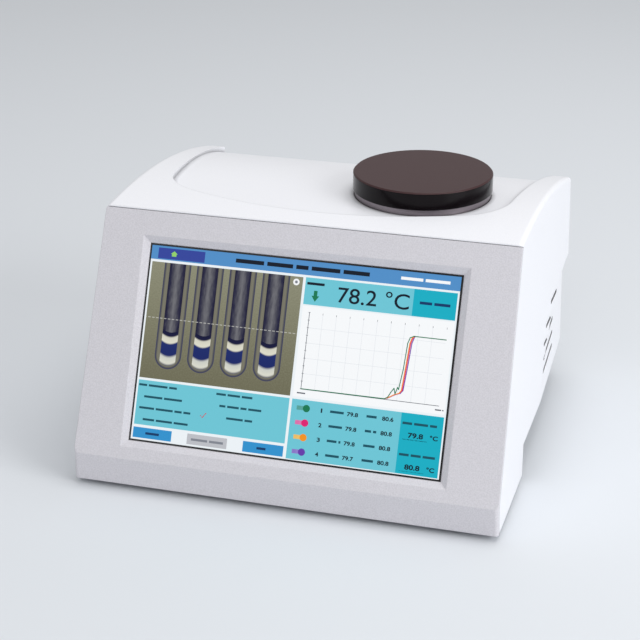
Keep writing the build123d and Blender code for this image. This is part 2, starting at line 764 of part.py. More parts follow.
def capillary_guide():
    """Ceramic top disc with the four funnels that lead the glass tubes into the block."""
    low = CAN_FLOOR_Z + CAN_FLOOR + INSULATION_FLOOR + BLOCK_H + 12.0
    disc = rod_z(LID_X, LID_Y, low, low + GUIDE_T, COLLAR_BORE_R - COLLAR_CLEAR)
    neck = rod_z(LID_X, LID_Y, block_floor() + BLOCK_H + FLOAT_GAP, low, GUIDE_NECK_R)
    rim = rod_z(LID_X, LID_Y, low + GUIDE_T, low + GUIDE_T + 1.5, GUIDE_NECK_R + 3)
    disc += neck + rim
    top = low + GUIDE_T + 1.5
    for x in tube_places():
        disc -= rod_z(x, LID_Y, low - FAR / 3, top, TUBE_BORE_R + 0.1)
        disc -= Pos(x, LID_Y, top - 1.25) * Cone(TUBE_BORE_R + 0.1, 3.0, 2.5)
    return disc


def sight_glass():
    """Window in the front sight tube."""
    y = LID_Y - CAN_R - SIGHT_TUBE + 1.0
    return rod_y(LID_X, y, y + 2.0, SIGHT_Z, SIGHT_R - 0.1)


def backlight():
    """Lamp board with its diffuser on the rear sight tube."""
    y = LID_Y + CAN_R + SIGHT_TUBE
    board = block(LID_X - LAMP / 2, LID_X + LAMP / 2, y, y + LAMP_T, SIGHT_Z - LAMP / 2, SIGHT_Z + LAMP / 2)
    diffuser = rod_y(LID_X, y - 3, y, SIGHT_Z, SIGHT_R - 0.3)
    return board + diffuser


def furnace_stand():
    """Bent sheet bridge that carries the can above the bottom plate."""
    half = CAN_R - 6.0
    flange = 14.0
    top = CAN_FLOOR_Z
    half_path = [(0, top - SHEET), (half, top - SHEET), (half, DECK_Z), (half + flange, DECK_Z),
                 (half + flange, DECK_Z + SHEET), (half + SHEET, DECK_Z + SHEET), (half + SHEET, top),
                 (0, top)]
    path = half_path + [(-x, z) for x, z in half_path[-2:0:-1]]
    bridge = extrude(Plane.XZ * make_face(Polyline(*path, close=True)), 30.0, both=True)
    bridge = Pos(LID_X, LID_Y, 0) * bridge
    for x, y in stand_screw_spots():
        bridge -= pin_z(x, y, DECK_Z, DECK_Z + SHEET, SCREW_R + SCREW_HOLE)
    return bridge


def stand_screw_spots():
    """Places of the screws through the feet of the furnace stand."""
    return [(LID_X + a * (CAN_R + 2.0), LID_Y + b * 20.0) for a in (-1, 1) for b in (-1, 1)]


def camera_y():
    """Rear face of the camera body."""
    return LID_Y - CAN_R - SIGHT_TUBE - CAMERA_GAP - LENS_L


def camera_body():
    """Camera housing aimed at the sight tube."""
    y = camera_y()
    body = centred(LID_X, CAMERA / 2, y - CAMERA_T, y, SIGHT_Z, CAMERA / 2)
    return fillet(body.edges().filter_by(Axis.Y), 3.0)


def camera_lens():
    """Stepped lens barrel with its front glass sunk in."""
    y = camera_y()
    barrel = rod_y(LID_X, y, y + LENS_L * 0.6, SIGHT_Z, LENS_R)
    barrel += rod_y(LID_X, y + LENS_L * 0.6, y + LENS_L, SIGHT_Z, LENS_R + 1.5)
    return barrel - rod_y(LID_X, y + LENS_L - 3, y + LENS_L, SIGHT_Z, LENS_R - 1)


def camera_bracket():
    """Bent bracket from the bottom plate to the underside of the camera."""
    shelf_z = SIGHT_Z - CAMERA / 2
    y0 = STEP_Y + 6.0
    toe = y0 + BRACKET_TOE
    body_y = camera_y() - CAMERA_T
    outline = yz_outline([(y0, DECK_Z), (toe, DECK_Z), (toe, DECK_Z + SHEET), (y0 + SHEET, DECK_Z + SHEET),
                          (y0 + SHEET, shelf_z), (body_y, shelf_z), (body_y, shelf_z - SHEET),
                          (y0, shelf_z - SHEET)])
    return Pos(LID_X, 0, 0) * along_x(outline, CAMERA / 2 - 2)


def base_plate():
    """Folded bottom plate: low at the front, raised behind the step."""
    y0 = FRONT + CHIN_SETBACK + PANEL + 1.0
    y1 = PANEL_FACE_Y
    yb = STEP_Y - STEP_SLANT - WALL
    outline = yz_outline([(y0, BASE_FRONT_Z), (yb, BASE_FRONT_Z), (yb, BASE_REAR_Z), (y1, BASE_REAR_Z),
                          (y1, BASE_REAR_Z + SHEET), (yb - SHEET, BASE_REAR_Z + SHEET),
                          (yb - SHEET, BASE_FRONT_Z + SHEET), (y0, BASE_FRONT_Z + SHEET)])
    plate = along_x(outline, HALF) & inner_form(WALL + FIT)
    plate -= bottom_slots()
    for x, y, z in base_spots():
        plate -= pin_z(x, y, z, z + SHEET, SCREW_R + SCREW_HOLE)
    for x, y in stand_screw_spots():
        plate -= pin_z(x, y, BASE_REAR_Z, DECK_Z, SCREW_R + SCREW_HOLE)
    return plate


def bottom_slots():
    """Air slots in the raised part of the bottom plate."""
    tool = None
    for i in range(7):
        x = -84.0 + i * 9.0
        slot = Pos(x, 4.0, BASE_REAR_Z + SHEET / 2) * Box(3, 40, 2 * SHEET)
        tool = slot if tool is None else tool + slot
    return tool


def rear_panel():
    """Flat rear panel with the openings of the fan, inlet, switch and sockets."""
    top = recess_z(REAR) - WALL - FIT
    plate = block(-HALF, HALF, PANEL_BACK_Y, PANEL_FACE_Y, DECK_Z + FLOAT_GAP, top) & inner_form(WALL + FIT)
    deep = (PANEL_BACK_Y - 1, PANEL_FACE_Y + 1)
    spoke = 2 * FAN_BORE_R
    spokes = Box(GUARD_BAR, 4 * SHEET, spoke) + Box(spoke, 4 * SHEET, GUARD_BAR)
    spokes = Pos(FAN_X, PANEL_FACE_Y, FAN_Z) * spokes
    for ring in range(GUARD_RINGS):
        outer = FAN_BORE_R - ring * (GUARD_GAP + GUARD_BAR)
        cut = rod_y(FAN_X, *deep, FAN_Z, outer) - rod_y(FAN_X, *deep, FAN_Z, outer - GUARD_GAP)
        plate -= cut - spokes
    for x, z in fan_screw_spots():
        plate -= pin_y(x, *deep, z, SCREW_R + SCREW_HOLE)
    plate -= opening(INLET_X, INLET_Z, INLET_W + FIT, INLET_H + FIT)
    plate -= opening(SWITCH_X, SWITCH_Z, SWITCH_W + FIT, SWITCH_H + FIT)
    plate -= opening(USB_X, usb_z(), USB_W + FIT, USB_H + FIT)
    plate -= opening(LAN_X, lan_z(), LAN_W + FIT, LAN_H + FIT)
    plate -= opening(SERIAL_X, SERIAL_Z, SERIAL_W + 4 * FIT, SERIAL_H + 4 * FIT)
    for side in (-1, 1):
        plate -= pin_y(SERIAL_X + side * SERIAL_SCREW_X, *deep, SERIAL_Z, SCREW_R + SCREW_HOLE)
    for x, z in rear_spots():
        plate -= pin_y(x, *deep, z, SCREW_R + SCREW_HOLE)
    return plate


def opening(x, z, wide, tall):
    """Rectangular cutter through the rear panel."""
    return block(x - wide / 2, x + wide / 2, PANEL_BACK_Y - 1, PANEL_FACE_Y + 1, z - tall / 2, z + tall / 2)


def fan_screw_spots():
    """Places (x, z) of the fan screws."""
    half = FAN_HOLE_PITCH / 2
    return [(FAN_X + a * half, FAN_Z + b * half) for a in (-1, 1) for b in (-1, 1)]


def fan_frame():
    """Square fan housing with its hub and struts."""
    y1 = PANEL_BACK_Y
    y0 = y1 - FAN_T
    body = block(FAN_X - FAN / 2, FAN_X + FAN / 2, y0, y1, FAN_Z - FAN / 2, FAN_Z + FAN / 2)
    body = fillet(body.edges().filter_by(Axis.Y), 3.0)
    body -= rod_y(FAN_X, y0, y1, FAN_Z, FAN_BORE_R)
    body += rod_y(FAN_X, y0, y0 + 3, FAN_Z, FAN_HUB_R)
    for angle in (45, 135):
        strut = Pos(FAN_X, y0 + 1.5, FAN_Z) * Rot(0, angle, 0) * Box(2 * FAN_BORE_R + 2, 3, 3)
        body += strut
    body += rod_y(FAN_X, y0 + 3, y0 + 6, FAN_Z, 2.0)
    for x, z in fan_screw_spots():
        body -= pin_y(x, y1 - 8, y1, z, SCREW_R + SCREW_HOLE)
    return body


def fan_rotor():
    """Hub cup with swept blades, turning on the pin of the fan housing."""
    y0 = PANEL_BACK_Y - FAN_T + 3 + FLOAT_GAP
    y1 = PANEL_BACK_Y - 2.0
    hub = rod_y(FAN_X, y0, y1, FAN_Z, FAN_HUB_R)
    reach = FAN_BORE_R - FAN_TIP_GAP
    for i in range(FAN_BLADES):
        blade = Rot(BLADE_ANGLE, 0, 0) * Box(reach - FAN_HUB_R + 2, BLADE_CHORD, BLADE_T)
        blade = Pos((reach + FAN_HUB_R) / 2 - 1, 0, 0) * blade
        placed = Pos(FAN_X, (y0 + y1) / 2, FAN_Z) * Rot(0, 360.0 * i / FAN_BLADES, 0) * blade
        hub += placed & (rod_y(FAN_X, y0, y1, FAN_Z, reach))
    hub -= rod_y(FAN_X, y0, y0 + 3.4, FAN_Z, 2.05)
    return hub


def fan_screws():
    """Four screws through the rear panel into the fan."""
    return [screw_forward(x, PANEL_FACE_Y, z, SHEET + 6.0) for x, z in fan_screw_spots()]


def power_inlet():
    """Mains inlet body with its socket recess and the pocket of the fuse drawer."""
    y1 = PANEL_FACE_Y + INLET_FLANGE
    body = block(INLET_X - INLET_W / 2, INLET_X + INLET_W / 2, PANEL_FACE_Y - INLET_DEEP, PANEL_FACE_Y,
                 INLET_Z - INLET_H / 2, INLET_Z + INLET_H / 2)
    flange = block(INLET_X - INLET_FLANGE_W / 2, INLET_X + INLET_FLANGE_W / 2, PANEL_FACE_Y, y1,
                   INLET_Z - INLET_FLANGE_H / 2, INLET_Z + INLET_FLANGE_H / 2)
    body += fillet(flange.edges().filter_by(Axis.Y), 3.0)
    z = socket_z()
    cavity = block(INLET_X - SOCKET_W / 2, INLET_X + SOCKET_W / 2, y1 - SOCKET_DEEP, y1, z - SOCKET_H / 2,
                   z + SOCKET_H / 2)
    upper = cavity.edges().filter_by(Axis.Y).sort_by(Axis.Z)[-2:]
    body -= chamfer(upper, 4.0)
    z = drawer_z()
    half_wide, half_tall = DRAWER_W / 2 + DRAWER_GAP, DRAWER_H / 2 + DRAWER_GAP
    body -= centred(INLET_X, half_wide, y1 - DRAWER_L - 0.5, y1, z, half_tall)
    return body


def socket_z():
    """Height of the middle of the mains socket."""
    return INLET_Z + SOCKET_RISE


def drawer_z():
    """Height of the middle of the fuse drawer."""
    return INLET_Z - INLET_H / 2 + 1.6 + DRAWER_H / 2


def inlet_pins():
    """Three flat contact blades of the mains inlet."""
    y0 = PANEL_FACE_Y + INLET_FLANGE - SOCKET_DEEP
    z = socket_z()
    return [block(INLET_X + x - 1.0, INLET_X + x + 1.0, y0, y0 + PIN_L, z + dz - 2.0, z + dz + 2.0)
            for x, dz in ((-7.0, -2.5), (0.0, 2.5), (7.0, -2.5))]


def fuse_drawer():
    """Small drawer with two fuse troughs and a finger lip."""
    y1 = PANEL_FACE_Y + INLET_FLANGE
    z = drawer_z()
    body = centred(INLET_X, DRAWER_W / 2, y1 - DRAWER_L, y1, z, DRAWER_H / 2)
    for side in (-1, 1):
        x = INLET_X + side * 5.0
        body -= block(x - FUSE_R - 0.2, x + FUSE_R + 0.2, y1 - DRAWER_L + 1.5, y1 - DRAWER_L + 2.5 + FUSE_L,
                      z - DRAWER_H / 2 + 1.4, z + DRAWER_H / 2)
    lip = block(INLET_X - 5, INLET_X + 5, y1, y1 + 1.6, z - DRAWER_H / 2, z - DRAWER_H / 2 + 2.0)
    return body + lip


def fuses():
    """Two glass fuses in the drawer."""
    y0 = PANEL_FACE_Y + INLET_FLANGE - DRAWER_L + 2.0
    z = drawer_z() - DRAWER_H / 2 + 1.4 + FUSE_R
    return [rod_y(INLET_X + side * 5.0, y0, y0 + FUSE_L, z, FUSE_R) for side in (-1, 1)]


def switch_frame():
    """Snap-in frame of the power switch with its two pivot pins."""
    y1 = PANEL_FACE_Y + SWITCH_FLANGE
    body = block(SWITCH_X - SWITCH_W / 2, SWITCH_X + SWITCH_W / 2, PANEL_FACE_Y - SWITCH_DEEP, PANEL_FACE_Y,
                 SWITCH_Z - SWITCH_H / 2, SWITCH_Z + SWITCH_H / 2)
    body += block(SWITCH_X - SWITCH_FLANGE_W / 2, SWITCH_X + SWITCH_FLANGE_W / 2, PANEL_FACE_Y, y1,
                  SWITCH_Z - SWITCH_FLANGE_H / 2, SWITCH_Z + SWITCH_FLANGE_H / 2)
    body -= block(SWITCH_X - ROCKER_W / 2 - ROCKER_GAP, SWITCH_X + ROCKER_W / 2 + ROCKER_GAP, y1 - 10.0, y1,
                  SWITCH_Z - ROCKER_H / 2 - ROCKER_GAP, SWITCH_Z + ROCKER_H / 2 + ROCKER_GAP)
    for side in (-1, 1):
        x = SWITCH_X + side * (ROCKER_W / 2 + ROCKER_GAP - 0.75)
        body += Pos(x, rocker_pivot_y(), SWITCH_Z) * Rot(0, 90, 0) * Cylinder(ROCKER_PIVOT_R, 2.0)
    return body


def rocker_pivot_y():
    """Depth of the rocker's axis."""
    return PANEL_FACE_Y - 2.5


def power_rocker():
    """Rocker of the power switch, dished like the letter V, with pivot holes."""
    y = rocker_pivot_y()
    half = ROCKER_H / 2 - ROCKER_INSET
    rise = tan(radians(ROCKER_TILT)) * half
    front = PANEL_FACE_Y + SWITCH_FLANGE + 0.2
    tail = y - 3 * ROCKER_PIVOT_R
    above = [(tail, 2.0), (y, half - 0.7), (front + rise, half)]
    below = [(depth, -height) for depth, height in above[::-1]]
    path = above + [(front, 0.0)] + below
    outline = yz_outline([(depth, SWITCH_Z + height) for depth, height in path])
    body = Pos(SWITCH_X, 0, 0) * along_x(outline, ROCKER_W / 2)
    body -= Pos(SWITCH_X, y, SWITCH_Z) * Rot(0, 90, 0) * Cylinder(ROCKER_PIVOT_R + PIVOT_FIT, 2 * ROCKER_W)
    return Pos(0, y, SWITCH_Z) * Rot(-ROCKER_TILT, 0, 0) * Pos(0, -y, -SWITCH_Z) * body


def usb_z():
    """Height of the middle of the double data socket."""
    return DECK_Z + STANDOFF + BOARD_T + USB_H / 2


def lan_z():
    """Height of the middle of the network socket."""
    return DECK_Z + STANDOFF + BOARD_T + LAN_H / 2


def usb_socket():
    """Shell with two stacked flat slots and their tongues."""
    y1 = PANEL_FACE_Y + SOCKET_PROUD
    z = usb_z()
    body = centred(USB_X, USB_W / 2, y1 - USB_DEEP, y1, z, USB_H / 2)
    for dz in (-USB_SLOT_RISE, USB_SLOT_RISE):
        body -= centred(USB_X, USB_SLOT_W / 2, y1 - 10.0, y1, z + dz, USB_SLOT_H / 2)
        body += centred(USB_X, USB_SLOT_W / 2 - 0.7, y1 - 10.5, y1 - 0.8, z + dz + 1.15, 0.85)
    return body


def lan_socket():
    """Square network socket with its latch slot."""
    y1 = PANEL_FACE_Y + SOCKET_PROUD
    z = lan_z() + 0.4
    body = centred(LAN_X, LAN_W / 2, y1 - LAN_DEEP, y1, lan_z(), LAN_H / 2)
    body -= centred(LAN_X, LAN_MOUTH_W / 2, y1 - 14.0, y1, z, LAN_MOUTH_H / 2)
    body -= centred(LAN_X, LAN_MOUTH_W / 4, y1 - 14.0, y1, z - LAN_MOUTH_H / 2 - 0.9, 0.9)
    return body


def serial_socket():
    """Nine-pin serial socket with its flange, carried by two hexagonal posts."""
    y1 = PANEL_BACK_Y
    front = PANEL_FACE_Y + SERIAL_PROUD
    body = centred(SERIAL_X, SERIAL_FLANGE_W / 2, y1 - SERIAL_DEEP, y1, SERIAL_Z, SERIAL_FLANGE_H / 2)
    nose = centred(SERIAL_X, SERIAL_W / 2, y1, front, SERIAL_Z, SERIAL_H / 2)
    body += chamfer(nose.edges().filter_by(Axis.Y).sort_by(Axis.Z)[:2], 2.0)
    for count, row_z in ((5, CONTACT_ROW), (4, -CONTACT_ROW)):
        for i in range(count):
            x = SERIAL_X + (i - (count - 1) / 2) * CONTACT_PITCH
            body -= pin_y(x, y1, front, SERIAL_Z + row_z, CONTACT_R)
    for side in (-1, 1):
        x = SERIAL_X + side * SERIAL_SCREW_X
        body -= pin_y(x, y1 - SERIAL_DEEP, y1, SERIAL_Z, SCREW_R + SCREW_HOLE)
    return body


def serial_posts():
    """Two hexagonal posts that fasten the serial socket."""
    posts = []
    for side in (-1, 1):
        x = SERIAL_X + side * SERIAL_SCREW_X
        seat = Plane(origin=(x, PANEL_FACE_Y, SERIAL_Z), x_dir=(1, 0, 0), z_dir=(0, 1, 0))
        head = extrude(seat * RegularPolygon(POST_R, 6), POST_H)
        posts.append(head + pin_y(x, PANEL_FACE_Y - 8.0, PANEL_FACE_Y, SERIAL_Z, SCREW_R))
    return posts


def main_board_y():
    """Rear edge of the main board."""
    return PANEL_BACK_Y - 1.0


def main_board():
    """Main circuit board with its chips, capacitors, heat sink and plug headers."""
    z = DECK_Z + STANDOFF
    y1 = main_board_y()
    x0, x1 = MAIN_BOARD_X - MAIN_BOARD_W / 2, MAIN_BOARD_X + MAIN_BOARD_W / 2
    board = block(x0, x1, y1 - MAIN_BOARD_L, y1, z, z + BOARD_T)
    top = z + BOARD_T
    chip_x, chip_y = MAIN_BOARD_X + CHIP_X, y1 - CHIP_BACK
    board += block(chip_x - CHIP / 2, chip_x + CHIP / 2, chip_y - CHIP / 2, chip_y + CHIP / 2, top, top + 2.4)
    sink_x, sink_y = MAIN_BOARD_X + SINK_X - SINK_W / 2, y1 - SINK_BACK
    for i in range(6):
        x = sink_x + i * 4.0
        board += block(x, x + 2.0, sink_y - SINK_L / 2, sink_y + SINK_L / 2, top, top + 14)
    board += block(sink_x, sink_x + SINK_W, sink_y - SINK_L / 2, sink_y + SINK_L / 2, top, top + 3)
    for across, back in CAPACITOR_SPOTS:
        board += pin_z(MAIN_BOARD_X + across, y1 - back, top, top + 16, CAPACITOR_R)
    y0 = y1 - MAIN_BOARD_L + HEADER_EDGE
    for across in HEADER_SPOTS:
        x = MAIN_BOARD_X + across
        board += block(x, x + HEADER_W, y0, y0 + HEADER_D, top, top + 7)
    return board


def board_spacers():
    """Four spacers under the main board."""
    y1 = main_board_y()
    spacer = extrude(RegularPolygon(SPACER_R, 6), STANDOFF)
    reach = MAIN_BOARD_W / 2 - BOARD_EDGE
    return [Pos(MAIN_BOARD_X + a * reach, y, DECK_Z) * spacer
            for a in (-1, 1) for y in (y1 - 28.0, y1 - MAIN_BOARD_L + 8.0)]


def power_supply():
    """Vented sheet case of the power supply."""
    x0, x1 = SUPPLY_X - SUPPLY_W / 2, SUPPLY_X + SUPPLY_W / 2
    y0, y1 = SUPPLY_Y - SUPPLY_L / 2, SUPPLY_Y + SUPPLY_L / 2
    case = block(x0, x1, y0, y1, DECK_Z, DECK_Z + SUPPLY_H)
    case -= block(x0 + 1.2, x1 - 1.2, y0 + 12, y1 - 1.2, DECK_Z + 1.2, DECK_Z + SUPPLY_H - 1.2)
    case -= block(x0 + 1.2, x1 - 1.2, y0, y0 + 12, DECK_Z + 14, DECK_Z + SUPPLY_H)
    for i in range(6):
        slot = Pos(SUPPLY_X, y0 + 30 + i * 14.0, DECK_Z + SUPPLY_H) * Box(44, 5, 4)
        case -= slot
    return case


def front_feet():
    """Two round rubber feet under the front."""
    feet = []
    for side in (-1, 1):
        foot = rod_z(side * FOOT_X, FRONT_FOOT_Y, 0, BASE_FRONT_Z, FOOT_R)
        foot = chamfer(foot.edges().sort_by(Axis.Z)[0], 1.2)
        foot -= pin_z(side * FOOT_X, FRONT_FOOT_Y, 0, SCREW_HEAD + HEAD_SUNK, SCREW_HEAD_R + 0.2)
        foot -= pin_z(side * FOOT_X, FRONT_FOOT_Y, 0, BASE_FRONT_Z, SCREW_R + SCREW_HOLE)
        feet.append(foot)
    return feet


def rear_legs():
    """Two tapered legs that make up for the raised rear skirt."""
    legs = []
    for side in (-1, 1):
        leg = Cone(LEG_R, LEG_TOP_R, BASE_REAR_Z - PAD_H)
        leg = Pos(side * FOOT_X, REAR_FOOT_Y, (PAD_H + BASE_REAR_Z) / 2) * leg
        legs.append(leg - pin_z(side * FOOT_X, REAR_FOOT_Y, PAD_H, BASE_REAR_Z, SCREW_R + SCREW_HOLE))
    return legs


def rear_pads():
    """Rubber pads under the rear legs."""
    pads = []
    for side in (-1, 1):
        pad = rod_z(side * FOOT_X, REAR_FOOT_Y, 0, PAD_H, LEG_R)
        pad = chamfer(pad.edges().sort_by(Axis.Z)[0], 1.2)
        pad -= pin_z(side * FOOT_X, REAR_FOOT_Y, 0, SCREW_HEAD + HEAD_SUNK, SCREW_HEAD_R + 0.2)
        pad -= pin_z(side * FOOT_X, REAR_FOOT_Y, 0, PAD_H, SCREW_R + SCREW_HOLE)
        pads.append(pad)
    return pads


def foot_screws():
    """Four screws up through the feet; the rear ones reach through the legs."""
    screws = []
    for side in (-1, 1):
        for y, top in ((FRONT_FOOT_Y, BASE_FRONT_Z), (REAR_FOOT_Y, BASE_REAR_Z)):
            seat = SCREW_HEAD + HEAD_SUNK
            screws.append(screw_up(side * FOOT_X, y, seat, top - seat))
    return screws


def panel_screws():
    """Four screws from inside through the lugs of the cover into the front panel."""
    return [face_screw(u, v, PANEL + SEAM + WALL, WALL + SEAM + PANEL - 1.4) for u, v in lug_spots()]


def display_screws():
    """Four screws that clamp the display frame to the panel's bosses."""
    return [face_screw(u, v, frame_depth() + FRAME_T, FRAME_T + 5.5) for u, v in boss_spots()]


def base_screws():
    """Four screws up through the bottom plate into the cover."""
    return [screw_up(x, y, z, SHEET + LUG_T - 3) for x, y, z in base_spots()]


def rear_screws():
    """Four screws through the rear panel into the cover."""
    return [screw_forward(x, PANEL_FACE_Y, z, SHEET + LUG_T - 3) for x, z in rear_spots()]


def stand_screws():
    """Four screws up through the bottom plate into the furnace stand."""
    return [screw_up(x, y, BASE_REAR_Z, SHEET + SHEET) for x, y in stand_screw_spots()]


def write(name, shape):
    """Write one node, a solid or a list of separate solids."""
    solids = shape if isinstance(shape, list) else [shape]
    flat = []
    for item in solids:
        flat.extend(item.solids())
    result = flat[0] if len(flat) == 1 else Compound(children=flat)
    result.label = name
    export_step(result, f"parts/{name}.step")


NODES = {
    "top_cover": top_cover, "front_panel": front_panel, "touch_glass": touch_glass,
    "display_gasket": display_gasket, "lcd_module": lcd_module, "display_frame": display_frame,
    "display_spacers": display_spacers, "display_board": display_board, "lid": lid,
    "lid_insulator": lid_insulator, "collar_ring": collar_ring, "furnace_can": furnace_can,
    "insulation": insulation, "heating_block": heating_block, "cartridge_heaters": cartridge_heaters,
    "temperature_probe": temperature_probe, "capillary_guide": capillary_guide, "sight_glass": sight_glass,
    "backlight": backlight, "furnace_stand": furnace_stand, "camera_body": camera_body,
    "camera_lens": camera_lens, "camera_bracket": camera_bracket, "base_plate": base_plate,
    "rear_panel": rear_panel, "fan_frame": fan_frame, "fan_rotor": fan_rotor, "fan_screws": fan_screws,
    "power_inlet": power_inlet, "inlet_pins": inlet_pins, "fuse_drawer": fuse_drawer, "fuses": fuses,
    "switch_frame": switch_frame, "power_rocker": power_rocker, "usb_socket": usb_socket,
    "lan_socket": lan_socket, "serial_socket": serial_socket, "serial_posts": serial_posts,
    "main_board": main_board, "board_spacers": board_spacers, "power_supply": power_supply,
    "front_feet": front_feet, "rear_legs": rear_legs, "rear_pads": rear_pads, "foot_screws": foot_screws,
    "panel_screws": panel_screws, "display_screws": display_screws, "base_screws": base_screws,
    "rear_screws": rear_screws, "stand_screws": stand_screws,
}

for node, make in NODES.items():
    write(node, make())
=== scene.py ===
import json
import math

import bpy
from mathutils import Matrix, Vector


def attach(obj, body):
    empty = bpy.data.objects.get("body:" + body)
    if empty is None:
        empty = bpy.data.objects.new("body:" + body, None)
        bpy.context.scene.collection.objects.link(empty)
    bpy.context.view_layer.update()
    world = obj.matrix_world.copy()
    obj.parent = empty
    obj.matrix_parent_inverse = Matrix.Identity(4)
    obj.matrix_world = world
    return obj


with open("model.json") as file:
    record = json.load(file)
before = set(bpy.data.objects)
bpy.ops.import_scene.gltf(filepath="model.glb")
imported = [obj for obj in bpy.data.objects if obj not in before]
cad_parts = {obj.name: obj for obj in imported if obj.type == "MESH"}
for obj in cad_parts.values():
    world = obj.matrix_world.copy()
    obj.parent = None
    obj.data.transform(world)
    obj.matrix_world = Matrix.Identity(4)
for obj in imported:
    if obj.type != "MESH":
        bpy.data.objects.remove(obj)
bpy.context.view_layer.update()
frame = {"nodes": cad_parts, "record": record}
NODES = frame["nodes"]
RECORD = frame["record"]
SLOT_OF = {part["node"]: part["material_slot"] for part in RECORD["subparts"]}

MM = 0.001

# The sloping face, as in the CAD
FACE_ANGLE = math.radians(65.9)
FACE_FOOT = Vector((0.0, -137.0, 23.5)) * MM
SCREEN_CENTRE = (-1.1, 79.2)
SCREEN_SIZE = (212.9, 132.4)
GLASS_DEPTH = 2.6

# The screen picture is laid out on a grid of fifths of a millimetre, from the top left
CELL = MM / 5
LAYER = 0.02 * MM


def face_matrix(u, v, depth):
    """Frame on the sloping face: X to the right, Y up the slope, Z out of the face."""
    up = Vector((0.0, math.cos(FACE_ANGLE), math.sin(FACE_ANGLE)))
    out = Vector((0.0, -math.sin(FACE_ANGLE), math.cos(FACE_ANGLE)))
    at = FACE_FOOT + Vector((u * MM, 0.0, 0.0)) + up * (v * MM) - out * (depth * MM)
    rows = Matrix((Vector((1.0, 0.0, 0.0)), up, out)).transposed()
    return Matrix.Translation(at) @ rows.to_4x4()


SCREEN_LEFT = SCREEN_CENTRE[0] - SCREEN_SIZE[0] / 2
SCREEN_TOP = SCREEN_CENTRE[1] + SCREEN_SIZE[1] / 2
SCREEN = face_matrix(SCREEN_LEFT, SCREEN_TOP, GLASS_DEPTH)


def linear(rgb):
    """Colour as the render engine needs it, from the usual 0 to 255 values."""
    out = []
    for value in rgb:
        c = value / 255
        out.append(c / 12.92 if c <= 0.04045 else ((c + 0.055) / 1.055) ** 2.4)
    return (*out, 1.0)


class Shader:
    """A node material and the few steps that the materials here are made of."""

    def __init__(self, name):
        self.material = bpy.data.materials.new(name)
        self.material.use_nodes = True
        self.tree = self.material.node_tree
        self.tree.nodes.clear()
        self.out = self.tree.nodes.new("ShaderNodeOutputMaterial")
        self.bsdf = self.tree.nodes.new("ShaderNodeBsdfPrincipled")
        self.link(self.bsdf.outputs[0], self.out.inputs[0])

    def link(self, a, b):
        self.tree.links.new(a, b)

    def feed(self, socket, value):
        """A number, a colour or another node's output goes into the socket."""
        if hasattr(value, "is_linked"):
            self.link(value, socket)
        else:
            socket.default_value = value

    def set(self, **values):
        for key, value in values.items():
            self.feed(self.bsdf.inputs[key.replace("_", " ")], value)
        return self

    def math(self, operation, a, b=0.0, c=0.0):
        node = self.tree.nodes.new("ShaderNodeMath")
        node.operation = operation
        for socket, value in zip(node.inputs, (a, b, c)):
            self.feed(socket, value)
        return node.outputs[0]

    def point(self):
        """Position in the piece's own frame, as three outputs."""
        coords = self.tree.nodes.new("ShaderNodeTexCoord")
        split = self.tree.nodes.new("ShaderNodeSeparateXYZ")
        self.link(coords.outputs["Object"], split.inputs[0])
        return coords.outputs["Object"], split.outputs

    def noise(self, scale, detail=2.0, stretch=None):
        coords = self.tree.nodes.new("ShaderNodeTexCoord")
        node = self.tree.nodes.new("ShaderNodeTexNoise")
        node.inputs["Scale"].default_value = scale
        node.inputs["Detail"].default_value = detail
        vector = coords.outputs["Object"]
        if stretch:
            mapping = self.tree.nodes.new("ShaderNodeMapping")
            mapping.inputs["Scale"].default_value = stretch
            self.link(vector, mapping.inputs["Vector"])
            vector = mapping.outputs[0]
        self.link(vector, node.inputs["Vector"])
        return node.outputs["Fac"]

    def ramp(self, factor, stops):
        node = self.tree.nodes.new("ShaderNodeValToRGB")
        node.color_ramp.interpolation = "LINEAR"
        elements = node.color_ramp.elements
        while len(elements) < len(stops):
            elements.new(0.5)
        for element, (position, colour) in zip(elements, stops):
            element.position = position
            element.color = colour
        self.feed(node.inputs[0], factor)
        return node.outputs[0]

    def mix(self, factor, a, b):
        node = self.tree.nodes.new("ShaderNodeMix")
        node.data_type = "RGBA"
        self.feed(node.inputs[0], factor)
        self.feed(node.inputs[6], a)
        self.feed(node.inputs[7], b)
        return node.outputs[2]

    def painted_crevice_shade(self, tint, reach, depth, floor=0.12):
        """The tint with painted shade: darkened where the surface looks into a gap or an inner corner."""
        node = self.tree.nodes.new("ShaderNodeAmbientOcclusion")
        node.samples = 8
        node.inputs["Distance"].default_value = reach
        open_sky = self.math("POWER", node.outputs["AO"], depth)
        dark = self.mix(1.0 - floor, tint, (0.0, 0.0, 0.0, 1.0))
        return self.mix(open_sky, dark, tint)

    def relief(self, height=None, strength=0.1, distance=0.0002, round_edge=0.0):
        """Fine bumps and softened edges in the shading."""
        normal = None
        if round_edge:
            bevel = self.tree.nodes.new("ShaderNodeBevel")
            bevel.samples = 8
            bevel.inputs["Radius"].default_value = round_edge
            normal = bevel.outputs[0]
        if height is not None:
            bump = self.tree.nodes.new("ShaderNodeBump")
            bump.inputs["Strength"].default_value = strength
            bump.inputs["Distance"].default_value = distance
            self.link(height, bump.inputs["Height"])
            if normal:
                self.link(normal, bump.inputs["Normal"])
            normal = bump.outputs[0]
        self.link(normal, self.bsdf.inputs["Normal"])
        return self


